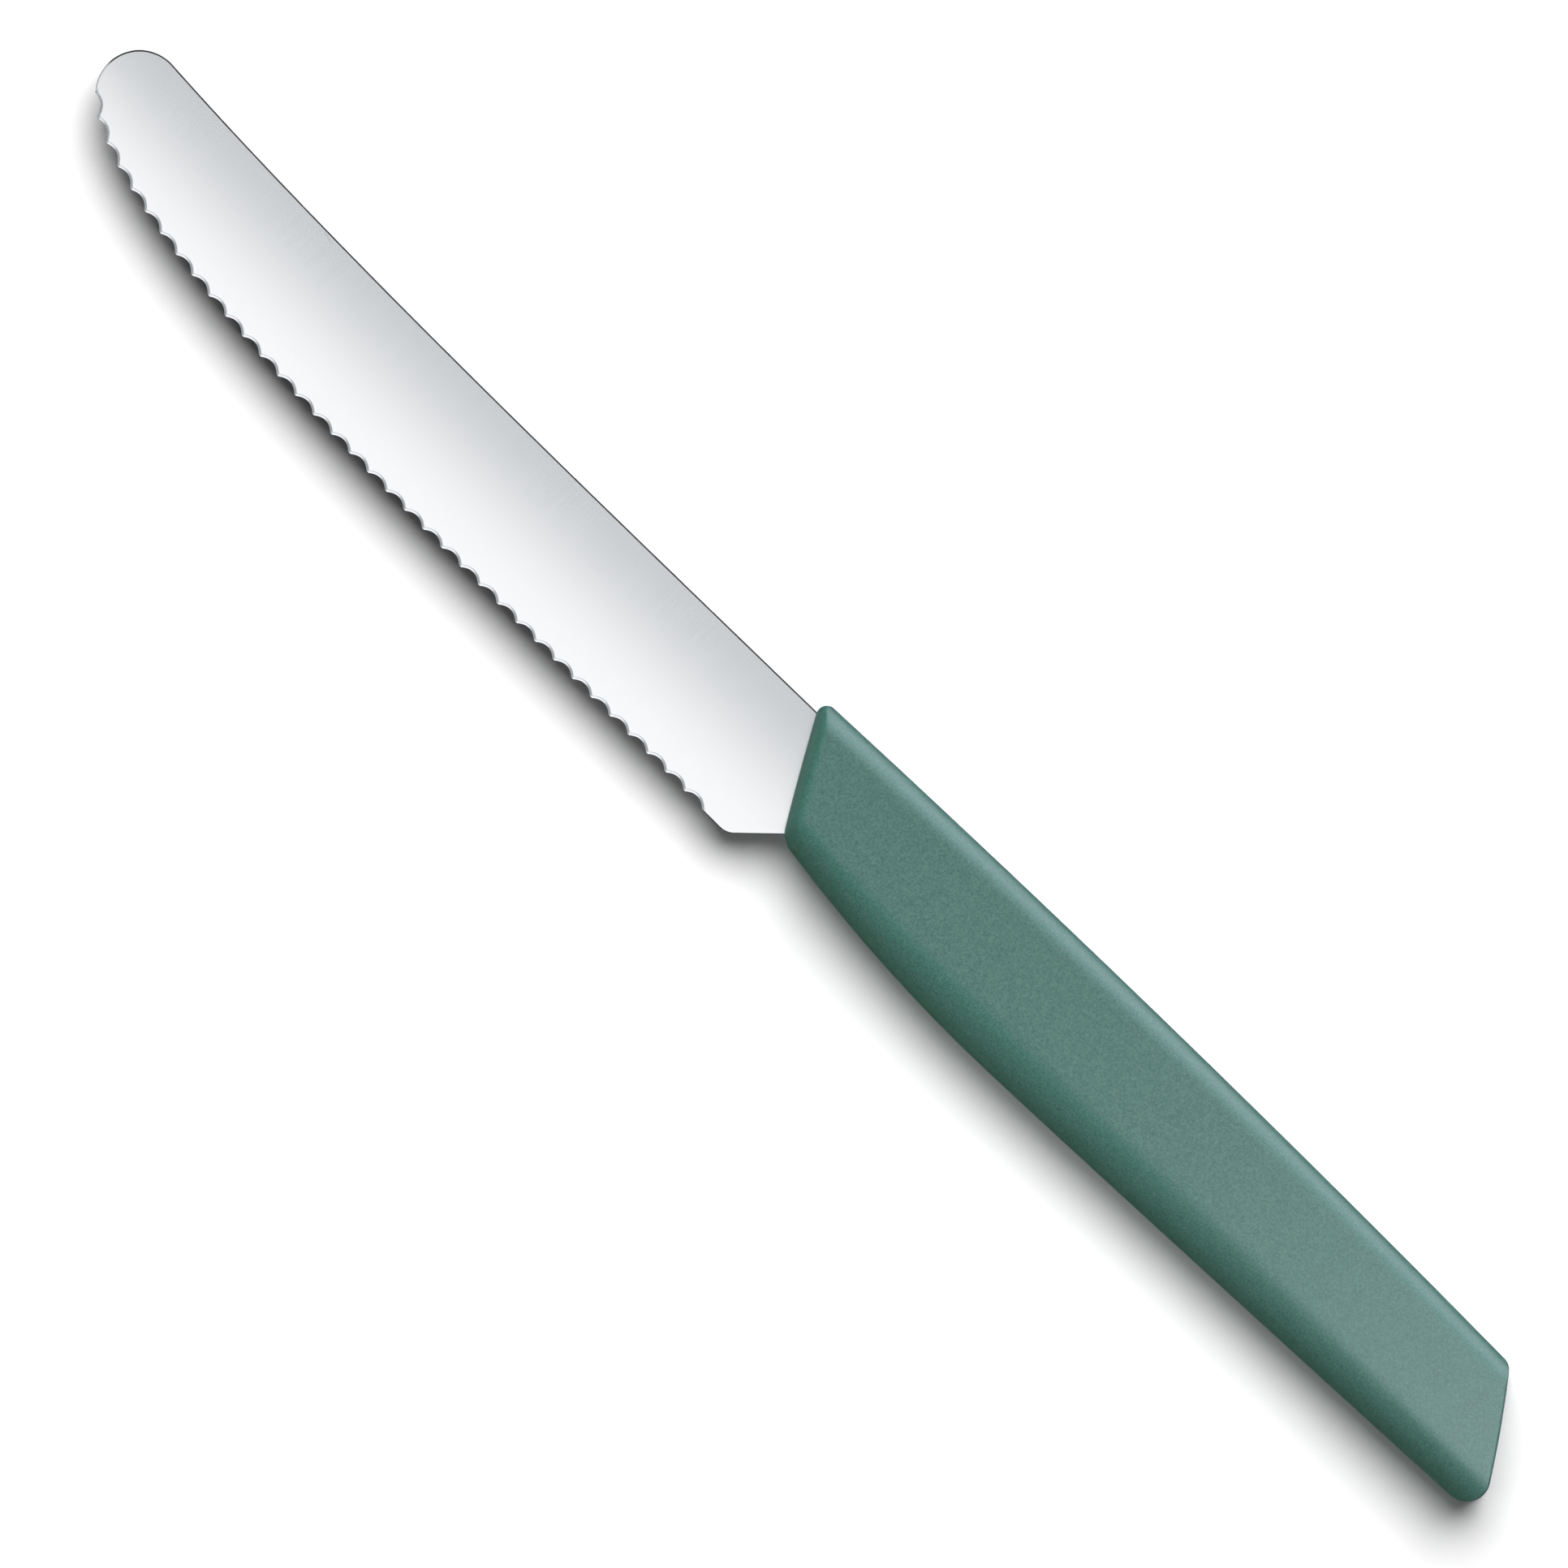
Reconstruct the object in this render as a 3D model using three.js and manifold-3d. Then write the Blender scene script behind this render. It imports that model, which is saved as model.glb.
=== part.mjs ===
// Serrated petty knife: a stamped and ground steel blade, with its tang locked in a moulded handle.
// Millimetres. The knife lies on its side: +X runs from the blade's tip to the handle's butt, +Y towards
// the spine and +Z out of the upper side. In the drawing the handle's front crosses the axis at the origin.

import * as THREE from 'three';
import { mergeVertices } from 'three/addons/utils/BufferGeometryUtils.js';
import Module from 'manifold-3d';

// Blade, side view
const bladeLength = 111.2; // tip to the handle's front, along the axis
const tipRadius = 4.93;
const tipCentreHeight = 3.53; // above the axis
const spineHeight = 8.26; // above the axis, at the handle
const spineSlopeAtHandle = 0.016; // fall towards the tip for each millimetre
const spineSlopeAtTip = 0.06; // rise towards the tip for each millimetre
const spineFairing = 30; // reach of the spine's end tangents
const edgeDepth = 8.32; // axis down to the tooth tips
const edgeSweep = 66.8; // tip back to where the edge becomes straight
const edgeTipAngle = 40.3; // degrees below the axis where the edge leaves the round tip
const edgeFairingAtTip = 8.9; // reach of the swept edge's end tangents
const edgeFairingAtHeel = 33.9;
const heelDepth = 8.45; // axis down to the plain edge at the heel
const heelLand = 3.7; // plain edge from the last tooth to the heel's corner
const heelAngle = 44; // degrees from the axis, of the line from the heel up to the handle
const heelRadius = 1.2;

// Blade, section
const spineThickness = 1.2;
const edgeThickness = 0.5; // of the ground blade, before the scallops

// Scallops, ground from the lower side by a round wheel
const scallopPitch = 2.94;
const scallopDepth = 0.57;
const toothLand = 0.3; // edge left between two scallops
const scallopBevel = 18; // degrees between the ground flutes and the blade's side

// Tang
const tangLength = 72; // behind the handle's front
const tangHeight = 9;
const tangCentreHeight = 2.1; // above the axis
const tangEndRadius = 2.5;
const shoulderDepth = 2; // how far the blade's full height reaches into the handle
const shoulderRadius = 0.6;
const mouthLip = 0.53; // handle below the blade where it comes out, along the front
const lockHoleDiameter = 4.6;
const lockHolePitch = 20;
const lockHoleStart = 14; // handle's front to the first hole
const lockHoleMargin = 8; // least distance from the last hole's centre to the tang's end

// Handle, side view
const handleLength = 108.5; // front to butt, along the axis
const frontSlant = 29.7; // degrees that the front leans forward
const frontBow = 0.1;
const buttSlant = 34.5; // degrees that the butt leans back
const buttBow = 0.3;
const backHeightAtFront = 9.76; // above the axis
const backHeightAtButt = 11.44;
const backBow = 0.69;
const bellyDepthAtFront = 4.5; // below the axis
const bellyDepth = 6.68;
const bellyDepthAtButt = 3.3;
const bellyPosition = 31.7; // handle's front to the deepest point
const bellyFairingToFront = 14.7; // reach of the tangent at the deepest point
const bellyFairingToButt = 9;
const frontTopRadius = 1.2;
const frontLowRadius = 3.2;
const buttTopRadius = 1.8;
const buttLowRadius = 2.7;

// Handle, section: the width of its rounded edge along each side and at each corner
const handleThickness = 12;
const backRounding = 2.8;
const bellyRounding = 5.6;
const frontRounding = 2.3;
const buttRounding = 0.5;
const frontTopRounding = 1;
const frontLowRounding = 2.4;
const buttTopRounding = 0.9;
const buttLowRounding = 2.4;
const edgeRise = 2; // height of the rounded edge for each millimetre of its width
const edgeHeight = 4.8; // greatest height of the rounded edge
const edgeBlend = 5; // length over which the edge changes from a corner's width to its side's
const bellyBlend = 10;

// Handle, inside
const gripWall = 2.4; // of the second moulding over the core
const coreCornerRadius = 2;
const coreRounding = 1.2;
const mouldGap = 0.2; // bond line between the mouldings, and between them and the steel

// Smoothness
const spineSteps = 20;
const tipSteps = 14;
const edgeSteps = 60;
const cornerSteps = 5;
const sideStep = 4; // spacing of points along the handle's sides
const gripRoundingSteps = 6;
const coreRoundingSteps = 3;
const holeSides = 24;
const wheelSides = 96;

// Cutting tools
const wheelReach = 4; // half the grinding wheel's width
const mouthReach = 4; // how far the cut for the blade starts ahead of the handle

const radians = THREE.MathUtils.degToRad;
const point = (x, y) => new THREE.Vector2(x, y);
const frontAt = (y) => -y * Math.tan(radians(frontSlant));
const buttAt = (y) => handleLength - y * Math.tan(radians(buttSlant));

const wasm = await Module();
wasm.setup();

function toSolid(geometry) {
  const bare = geometry.clone();
  bare.deleteAttribute('normal');
  bare.deleteAttribute('uv');
  const merged = mergeVertices(bare, 1e-5);
  const vertProperties = new Float32Array(merged.attributes.position.array);
  const triVerts = new Uint32Array(merged.index.array);
  return new wasm.Manifold(new wasm.Mesh({ numProp: 3, vertProperties, triVerts }));
}

function toGeometry(solid) {
  const { vertProperties, triVerts } = solid.getMesh();
  const geometry = new THREE.BufferGeometry();
  geometry.setAttribute('position', new THREE.BufferAttribute(vertProperties, 3));
  geometry.setIndex(new THREE.BufferAttribute(triVerts, 1));
  geometry.computeVertexNormals();
  return geometry;
}

// Points along a curve without its last one, evenly spaced.
function walk(curve, steps) {
  return curve.getSpacedPoints(steps).slice(0, -1);
}

// A chain is a list of { at, radius }: straight runs with a rounded corner at each inner point.
function chainPoints(chain) {
  const points = [chain[0].at];
  for (let i = 1; i < chain.length - 1; i += 1) {
    points.push(...roundedCorner(chain[i - 1].at, chain[i], chain[i + 1].at));
  }
  points.push(chain.at(-1).at);
  return points;
}

function roundedCorner(before, { at, radius }, after) {
  const back = before.clone().sub(at).normalize();
  const ahead = after.clone().sub(at).normalize();
  const half = Math.acos(back.dot(ahead)) / 2;
  const reach = radius / Math.tan(half);
  const turn = Math.sign(ahead.cross(back));
  const centre = back.clone().add(ahead).setLength(radius / Math.sin(half)).add(at);
  const start = at.clone().addScaledVector(back, reach).sub(centre);
  const sweep = turn * (Math.PI - 2 * half);
  return Array.from({ length: cornerSteps + 1 }, (_, i) => {
    return start.clone().rotateAround(point(0, 0), (sweep * i) / cornerSteps).add(centre);
  });
}

// The chain moved to its right by a margin. Corners that turn left get rounder, the others tighter.
function movedOut(chain, margin) {
  const rightOf = (a, b) => point(b.y - a.y, a.x - b.x).normalize();
  return chain.map(({ at, radius }, i) => {
    const k = Math.max(i, 1);
    const m = Math.min(i, chain.length - 2);
    const before = rightOf(chain[k - 1].at, chain[k].at);
    const after = rightOf(chain[m].at, chain[m + 1].at);
    const bisector = before.clone().add(after).normalize();
    const moved = at.clone().addScaledVector(bisector, margin / bisector.dot(before));
    const turn = Math.sign(before.cross(after));
    return { at: moved, radius: Math.max(radius + turn * margin, mouldGap / 2) };
  });
}

// The steel inside the handle, from the heel's corner round the tang and up the shoulder to the spine.
function rootChain() {
  const tangLow = tangCentreHeight - tangHeight / 2;
  const tangTop = tangCentreHeight + tangHeight / 2;
  const mouthLow = -bellyDepthAtFront + mouthLip;
  const heelRun = 1 / Math.tan(radians(heelAngle));
  const onHeelLine = (y) => point(frontAt(mouthLow) + (y - mouthLow) * heelRun, y);
  const onShoulder = (y) => point(frontAt(y) + shoulderDepth / Math.cos(radians(frontSlant)), y);
  return [
    { at: onHeelLine(-heelDepth), radius: heelRadius },
    { at: onHeelLine(tangLow), radius: shoulderRadius },
    { at: point(tangLength, tangLow), radius: tangEndRadius },
    { at: point(tangLength, tangTop), radius: tangEndRadius },
    { at: onShoulder(tangTop), radius: shoulderRadius },
    { at: onShoulder(spineHeight), radius: shoulderRadius },
  ];
}

const root = rootChain();
const heelCorner = root[0].at;
const spineEnd = root.at(-1).at;
const tipCentre = point(tipRadius - bladeLength, tipCentreHeight);
const heelStart = point(heelCorner.x - heelLand, -heelDepth);

// The tooth tips lie on this line, from the round tip to the plain heel.
function toothLine() {
  const angle = radians(edgeTipAngle);
  const start = point(-Math.cos(angle), -Math.sin(angle)).multiplyScalar(tipRadius).add(tipCentre);
  const leave = point(Math.sin(angle), -Math.cos(angle)).multiplyScalar(edgeFairingAtTip).add(start);
  const straight = point(edgeSweep - bladeLength, -edgeDepth);
  const arrive = point(straight.x - edgeFairingAtHeel, -edgeDepth);
  const line = new THREE.CurvePath();
  line.add(new THREE.CubicBezierCurve(start, leave, arrive, straight));
  line.add(new THREE.LineCurve(straight, point(heelStart.x, -edgeDepth)));
  return line;
}

function spineCurve() {
  const tipTop = point(spineSlopeAtTip, 1).setLength(tipRadius).add(tipCentre);
  const leave = point(spineEnd.x - spineFairing, spineEnd.y - spineSlopeAtHandle * spineFairing);
  const arrive = point(tipTop.x + spineFairing, tipTop.y - spineSlopeAtTip * spineFairing);
  return new THREE.CubicBezierCurve(spineEnd, leave, arrive, tipTop);
}

function tipArc() {
  const top = Math.PI / 2 - Math.atan(spineSlopeAtTip);
  const low = Math.PI + radians(edgeTipAngle);
  return new THREE.ArcCurve(tipCentre.x, tipCentre.y, tipRadius, top, low, false);
}

// Half the steel's thickness at a height: both sides taper evenly from the spine to the edge.
function halfThickness(y) {
  return THREE.MathUtils.mapLinear(y, -edgeDepth, spineHeight, edgeThickness, spineThickness) / 2;
}

function lockHoles(radius) {
  const count = Math.floor((tangLength - lockHoleStart - lockHoleMargin) / lockHolePitch) + 1;
  return Array.from({ length: count }, (_, i) => {
    const x = lockHoleStart + i * lockHolePitch;
    const circle = new THREE.ArcCurve(x, tangCentreHeight, radius, 0, 2 * Math.PI, true);
    return new THREE.Path(circle.getPoints(holeSides));
  });
}

// A flat plate of tapered steel, or the room for it with a margin on each side.
function taperedPlate(outline, holes, margin) {
  const shape = new THREE.Shape(outline);
  shape.holes = holes;
  const plate = new THREE.ExtrudeGeometry(shape, { depth: 1, bevelEnabled: false });
  const position = plate.attributes.position;
  for (let i = 0; i < position.count; i += 1) {
    const half = halfThickness(position.getY(i)) + margin;
    position.setZ(i, position.getZ(i) > 0 ? half : -half);
  }
  return toSolid(plate);
}

// One pass of the wheel: a cylinder leaning outwards, whose nearest line meets the upper side at the
// scallop's depth.
function scallopCut(line, along) {
  const bevel = radians(scallopBevel);
  const halfWidth = (scallopPitch - toothLand) / 2;
  const sag = scallopDepth * Math.sin(bevel);
  const radius = (halfWidth ** 2 + sag ** 2) / (2 * sag);
  const on = line.getPointAt(along);
  const tangent = line.getTangentAt(along);
  const outwards = new THREE.Vector3(tangent.y, -tangent.x, 0);
  const up = new THREE.Vector3(0, 0, 1);
  const axis = outwards.clone().multiplyScalar(Math.cos(bevel)).addScaledVector(up, Math.sin(bevel));
  const inwards = up.clone().multiplyScalar(Math.cos(bevel)).addScaledVector(outwards, -Math.sin(bevel));
  const centre = new THREE.Vector3(on.x, on.y, halfThickness(on.y))
    .addScaledVector(outwards, -scallopDepth)
    .addScaledVector(inwards, -radius);
  const wheel = new THREE.CylinderGeometry(radius, radius, 2 * wheelReach, wheelSides);
  const sideways = axis.clone().cross(inwards);
  const place = new THREE.Matrix4().makeBasis(sideways, axis, inwards).setPosition(centre);
  return toSolid(wheel.applyMatrix4(place));
}

function bladeSolid() {
  const line = toothLine();
  const count = Math.round(line.getLength() / scallopPitch);
  const lastGap = point(heelStart.x - scallopPitch / 2, -edgeDepth);
  const spine = spineCurve();
  const heel = [{ at: point(lastGap.x, -heelDepth) }, ...root, { at: spine.getPoint(1 / spineSteps) }];
  const outline = [
    ...walk(spine, spineSteps).slice(1),
    ...walk(tipArc(), tipSteps),
    ...walk(line, edgeSteps).filter((p) => p.x < lastGap.x),
    lastGap,
    ...chainPoints(heel).slice(0, -1),
  ];
  let blade = taperedPlate(outline, lockHoles(lockHoleDiameter / 2), 0);
  for (let i = 0; i < count; i += 1) {
    blade = blade.subtract(scallopCut(line, (i + 0.5) / count));
  }
  return blade;
}

// The room that the handle leaves for the steel. Its holes leave the posts that lock the tang.
function steelRoom() {
  const ahead = frontAt(spineEnd.y) - mouthReach;
  const start = { at: point(ahead, -heelDepth), radius: 0 };
  const end = { at: point(ahead, spineEnd.y - spineSlopeAtHandle * (spineEnd.x - ahead)), radius: 0 };
  const room = movedOut([start, ...root, end], mouldGap);
  return taperedPlate(chainPoints(room), lockHoles(lockHoleDiameter / 2 - mouldGap), mouldGap);
}

// The handle's sides in order round its outline, each from its own corner to the next side's.
const handleSides = [
  {
    corner: point(frontAt(-bellyDepthAtFront), -bellyDepthAtFront),
    cornerRadius: frontLowRadius,
    cornerRounding: frontLowRounding,
    control: point(bellyPosition - bellyFairingToFront, -bellyDepth),
    rounding: bellyRounding,
    blend: bellyBlend,
  },
  {
    corner: point(bellyPosition, -bellyDepth),
    cornerRadius: 0,
    cornerRounding: bellyRounding,
    control: point(bellyPosition + bellyFairingToButt, -bellyDepth),
    rounding: bellyRounding,
    blend: bellyBlend,
  },
  {
    corner: point(buttAt(-bellyDepthAtButt), -bellyDepthAtButt),
    cornerRadius: buttLowRadius,
    cornerRounding: buttLowRounding,
    bow: buttBow,
    rounding: buttRounding,
    blend: edgeBlend,
  },
  {
    corner: point(buttAt(backHeightAtButt), backHeightAtButt),
    cornerRadius: buttTopRadius,
    cornerRounding: buttTopRounding,
    bow: backBow,
    rounding: backRounding,
    blend: edgeBlend,
  },
  {
    corner: point(frontAt(backHeightAtFront), backHeightAtFront),
    cornerRadius: frontTopRadius,
    cornerRounding: frontTopRounding,
    bow: frontBow,
    rounding: frontRounding,
    blend: edgeBlend,
  },
];
const nextOf = (i) => (i + 1) % handleSides.length;
const lastOf = (i) => (i + handleSides.length - 1) % handleSides.length;
const leftOf = (direction) => point(-direction.y, direction.x);

const sideCurves = handleSides.map(({ corner, control, bow }, i) => {
  const end = handleSides[nextOf(i)].corner;
  const middle = corner.clone().add(end).multiplyScalar(0.5);
  const inwards = leftOf(end.clone().sub(corner).normalize());
  const bent = control ?? middle.addScaledVector(inwards, -2 * bow);
  return new THREE.QuadraticBezierCurve(corner, bent, end);
});

// The sides moved inwards, meeting at corners that moved with them.
function insetSides(inset) {
  const corners = sideCurves.map((curve, i) => {
    const before = leftOf(sideCurves[lastOf(i)].getTangent(1));
    const after = leftOf(curve.getTangent(0));
    const mitre = before.clone().add(after).divideScalar(1 + before.dot(after));
    return mitre.multiplyScalar(inset).add(curve.v0);
  });
  return sideCurves.map((curve, i) => {
    const control = leftOf(curve.getTangent(0.5)).multiplyScalar(inset).add(curve.v1);
    return new THREE.QuadraticBezierCurve(corners[i], control, corners[nextOf(i)]);
  });
}

// The rounded edge's width on a side, at a distance from each of its ends.
function sideRounding(i, fromStart, fromEnd) {
  const { cornerRounding, rounding, blend } = handleSides[i];
  const nearStart = 1 - THREE.MathUtils.smoothstep(fromStart, 0, blend);
  const nearEnd = 1 - THREE.MathUtils.smoothstep(fromEnd, 0, blend);
  const endRounding = handleSides[nextOf(i)].cornerRounding;
  return rounding + (cornerRounding - rounding) * nearStart + (endRounding - rounding) * nearEnd;
}

// The handle's outline moved inwards, with a rounded corner after each side: points with their inward
// direction, and the rounded edge's width there on the outer surface.
function handleOutline(inset, cornerRadii) {
  const curves = insetSides(inset);
  const corners = curves.map((curve, i) => {
    const turn = curves[lastOf(i)].getTangent(1).angleTo(curve.getTangent(0));
    const reach = (4 / 3) * Math.tan(turn / 4) * cornerRadii[i];
    return { cut: cornerRadii[i] * Math.tan(turn / 2), reach };
  });
  return curves.flatMap((curve, i) => {
    const { cut, reach } = corners[nextOf(i)];
    const next = curves[nextOf(i)];
    const length = curve.getLength();
    const steps = Math.ceil(length / sideStep);
    const start = corners[i].cut / length;
    const end = 1 - cut / length;
    const points = Array.from({ length: steps + 1 }, (_, k) => {
      const share = THREE.MathUtils.lerp(start, end, k / steps);
      return {
        at: curve.getPointAt(share),
        inwards: leftOf(curve.getTangentAt(share)),
        rounding: sideRounding(i, (share - start) * length, (end - share) * length),
      };
    });
    if (cut === 0) {
      return points.slice(0, -1);
    }
    const entry = cut / next.getLength();
    const from = points.at(-1).at;
    const to = next.getPointAt(entry);
    const leave = curve.getTangentAt(end).multiplyScalar(reach).add(from);
    const arrive = next.getTangentAt(entry).multiplyScalar(-reach).add(to);
    const bend = new THREE.CubicBezierCurve(from, leave, arrive, to);
    for (let k = 1; k < cornerSteps; k += 1) {
      const at = bend.getPoint(k / cornerSteps);
      const inwards = leftOf(bend.getTangent(k / cornerSteps));
      points.push({ at, inwards, rounding: handleSides[nextOf(i)].cornerRounding });
    }
    return points;
  });
}

// A body with that outline, flat above and below, with its edge rounded all round: to a quarter of an
// ellipse where its height is given, else to a quarter of a circle.
function roundedBody(outline, thickness, steps) {
  const quarter = Array.from({ length: steps + 1 }, (_, i) => (Math.PI / 2) * (i / steps));
  const ring = (side, angle) => outline.map(({ at, inwards, rounding, height = rounding }) => {
    const { x, y } = at.clone().addScaledVector(inwards, rounding * (1 - Math.cos(angle)));
    return [x, y, side * (thickness / 2 - height * (1 - Math.sin(angle)))];
  });
  const lower = quarter.map((angle) => ring(-1, angle)).reverse();
  const upper = quarter.map((angle) => ring(1, angle));
  const rings = [...lower, ...upper];
  const count = outline.length;
  const index = [];
  for (let level = 0; level < rings.length - 1; level += 1) {
    for (let i = 0; i < count; i += 1) {
      const a = level * count + i;
      const b = level * count + ((i + 1) % count);
      index.push(a, b, b + count, a, b + count, a + count);
    }
  }
  const top = (rings.length - 1) * count;
  const flat = rings.at(-1).map(([x, y]) => point(x, y));
  THREE.ShapeUtils.triangulateShape(flat, []).forEach(([a, b, c]) => {
    index.push(top + a, top + b, top + c, a, c, b);
  });
  const geometry = new THREE.BufferGeometry();
  geometry.setAttribute('position', new THREE.Float32BufferAttribute(rings.flat(2), 3));
  geometry.setIndex(index);
  return toSolid(geometry);
}

// The core, or with a margin the room for it.
function coreBody(margin) {
  const inset = gripWall + mouldGap - margin;
  const cornered = coreCornerRadius + margin;
  const radii = handleSides.map(({ cornerRadius }) => (cornerRadius === 0 ? 0 : cornered));
  const outline = handleOutline(inset, radii).map((p) => ({ ...p, rounding: coreRounding + margin }));
  return roundedBody(outline, handleThickness - 2 * inset, coreRoundingSteps);
}

function coreSolid() {
  return coreBody(0).subtract(steelRoom());
}

function gripSolid() {
  const outline = handleOutline(0, handleSides.map(({ cornerRadius }) => cornerRadius));
  const edged = outline.map((p) => ({ ...p, height: Math.min(edgeRise * p.rounding, edgeHeight) }));
  const whole = roundedBody(edged, handleThickness, gripRoundingSteps);
  return whole.subtract(coreBody(mouldGap)).subtract(steelRoom());
}

function piece(name, solid, color, roughness, metalness) {
  const material = new THREE.MeshStandardMaterial({ color, roughness, metalness });
  const mesh = new THREE.Mesh(toGeometry(solid), material);
  mesh.name = name;
  return mesh;
}

const drawing = new THREE.Group();
drawing.add(
  piece('blade', bladeSolid(), 0xdfe2e6, 0.3, 1),
  piece('handle_core', coreSolid(), 0x3c4a46, 0.6, 0),
  piece('handle_grip', gripSolid(), 0x5a8179, 0.55, 0),
);

// The knife's own origin: under the middle of its outline, on the surface that it lies on.
const box = new THREE.Box3().setFromObject(drawing);
drawing.position.set(-(box.min.x + box.max.x) / 2, -(box.min.y + box.max.y) / 2, -box.min.z);

const knife = new THREE.Group();
knife.add(drawing);
knife.updateMatrixWorld(true);

export default knife;
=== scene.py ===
"""The looks of a serrated petty knife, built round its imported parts.

Shapes are drawn in millimetres in the drawing frame: +X from the blade's tip to the handle's butt, +Y towards
the spine, +Z out of the upper side, with the origin where the handle's front crosses the axis.
"""

import math
from collections import namedtuple

import bmesh
import bpy
import numpy as np
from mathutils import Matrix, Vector
from mathutils.geometry import delaunay_2d_cdt


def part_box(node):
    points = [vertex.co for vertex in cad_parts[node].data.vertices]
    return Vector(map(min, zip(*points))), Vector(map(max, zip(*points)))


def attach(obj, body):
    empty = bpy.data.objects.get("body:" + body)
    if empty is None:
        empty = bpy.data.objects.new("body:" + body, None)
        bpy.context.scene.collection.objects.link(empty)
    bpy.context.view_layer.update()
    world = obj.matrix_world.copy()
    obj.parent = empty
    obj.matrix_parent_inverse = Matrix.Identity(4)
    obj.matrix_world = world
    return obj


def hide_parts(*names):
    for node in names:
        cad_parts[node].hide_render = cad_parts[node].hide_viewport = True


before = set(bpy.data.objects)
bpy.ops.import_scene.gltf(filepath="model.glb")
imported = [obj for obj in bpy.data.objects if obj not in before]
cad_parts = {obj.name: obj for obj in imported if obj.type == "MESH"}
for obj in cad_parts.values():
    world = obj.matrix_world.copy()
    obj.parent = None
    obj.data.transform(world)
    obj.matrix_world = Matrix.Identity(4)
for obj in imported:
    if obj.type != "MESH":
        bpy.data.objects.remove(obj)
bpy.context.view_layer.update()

MM = 0.001
FLIP = (1, 1, -1)  # turns points of the upper side into points of the lower one

# Blade, side view
BLADE_LENGTH = 111.2
TIP_RADIUS = 4.93
TIP_CENTRE_HEIGHT = 3.53
SPINE_HEIGHT = 8.26
SPINE_SLOPE_AT_HANDLE = 0.016
SPINE_SLOPE_AT_TIP = 0.06
SPINE_FAIRING = 30
EDGE_DEPTH = 8.32
EDGE_SWEEP = 66.8
EDGE_TIP_ANGLE = math.radians(40.3)
EDGE_FAIRING_AT_TIP = 8.9
EDGE_FAIRING_AT_HEEL = 33.9
HEEL_DEPTH = 8.45
HEEL_LAND = 3.7
HEEL_ANGLE = math.radians(44)
HEEL_RADIUS = 2.4

# Blade, section
SPINE_THICKNESS = 1.2
EDGE_THICKNESS = 0.5
HOLLOW = 0.1  # depth of the hollow grind on each side
HOLLOW_TURN = math.radians(163)  # how far round a sine wave the hollow runs, from edge to spine
GRIND_SWEEP = 0.35  # how much of the edge's sweep up to the tip the grind follows
SPINE_BEVEL = 0.18  # along the spine and round the tip
HEEL_BEVEL = 0.1  # along the plain heel and the tang

# Scallops
SCALLOP_PITCH = 2.94
SCALLOP_DEPTH = 0.57
TOOTH_LAND = 0.3
SCALLOP_BEVEL = math.radians(18)
LIP_WIDTH = 0.2  # honed lip along the scallops on the upper side
LIP_ANGLE = math.radians(14)
LIP_THICKNESS = 0.03

# Tang
TANG_LENGTH = 72
TANG_HEIGHT = 9
TANG_CENTRE_HEIGHT = 2.1
TANG_END_RADIUS = 2.5
SHOULDER_DEPTH = 2
SHOULDER_RADIUS = 0.6
MOUTH_LIP = 0.53
LOCK_HOLE_DIAMETER = 4.6
LOCK_HOLE_PITCH = 20
LOCK_HOLE_START = 14
LOCK_HOLE_COUNT = 3

# Handle, side view
HANDLE_LENGTH = 108.5
FRONT_SLANT = math.radians(29.7)
FRONT_BOW = 0.1
BUTT_SLANT = math.radians(34.5)
BUTT_BOW = 0.3
BACK_HEIGHT_AT_FRONT = 9.76
BACK_HEIGHT_AT_BUTT = 11.44
BACK_BOW = 0.69
BELLY_DEPTH_AT_FRONT = 4.5
BELLY_DEPTH = 6.68
BELLY_DEPTH_AT_BUTT = 3.3
BELLY_POSITION = 31.7
BELLY_FAIRING_TO_FRONT = 14.7
BELLY_FAIRING_TO_BUTT = 9
FRONT_TOP_RADIUS = 1.2
FRONT_LOW_RADIUS = 3.2
BUTT_TOP_RADIUS = 1.8
BUTT_LOW_RADIUS = 2.7

# Handle, section: how far its rounded edges reach inwards, and down
HANDLE_THICKNESS = 12
BACK_ROUNDING = 2.5
BACK_DROP = 2.6
BELLY_ROUNDING = 5.6
BELLY_ROUNDING_AT_FRONT = 3.2
BELLY_ROUNDING_AT_BUTT = 4.2
BELLY_NARROWING = 70  # where the belly's edge starts to narrow towards the butt
BELLY_DROP = 4.6
FRONT_ROUNDING = 1.65
FRONT_DROP = 4.4
RIM_ROUNDING = 0.28  # all round the outline, and the only one at the butt
RIM_DROP = 0.35
EDGE_MEETING = 1.5  # order of the norm that adds up the drops where edges meet

# Handle, inside
GRIP_WALL = 2.4
CORE_ROOM_CORNER_RADIUS = 2.2
CORE_ROOM_ROUNDING = 1.4
MOULD_GAP = 0.08
MOUTH_REACH = 12  # how far the cut for the blade starts ahead of the handle

# Smoothness, and how meshes are made
CURVE_STEPS = 400
SPINE_STEPS = 70
TIP_STEPS = 48
SCALLOP_STEPS = 16
HEEL_STEPS = 6
CHAIN_CORNER_STEPS = 8
RIM_LEVELS = 5
SIDE_LINES = 16  # lines along the blade that carry the hollow grind
CROSS_LINES = 22  # and across it, where the edge sweeps up to the tip
HOLE_STEPS = 48
GRIP_STEP = 0.8
GRIP_CORNER_STEPS = 14
GRIP_GRID = 0.5
GRIP_RIM_LEVELS = 7
ROOM_LEVELS = 5
MERGE_DISTANCE = 0.0005  # points of the grip's grid closer than this become one
INSIDE_ONLY = 1  # the triangulation's own number for keeping inside the outline
CUT_TOLERANCE = 1e-6  # for the cuts that lay a grid over the blade's sides
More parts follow.
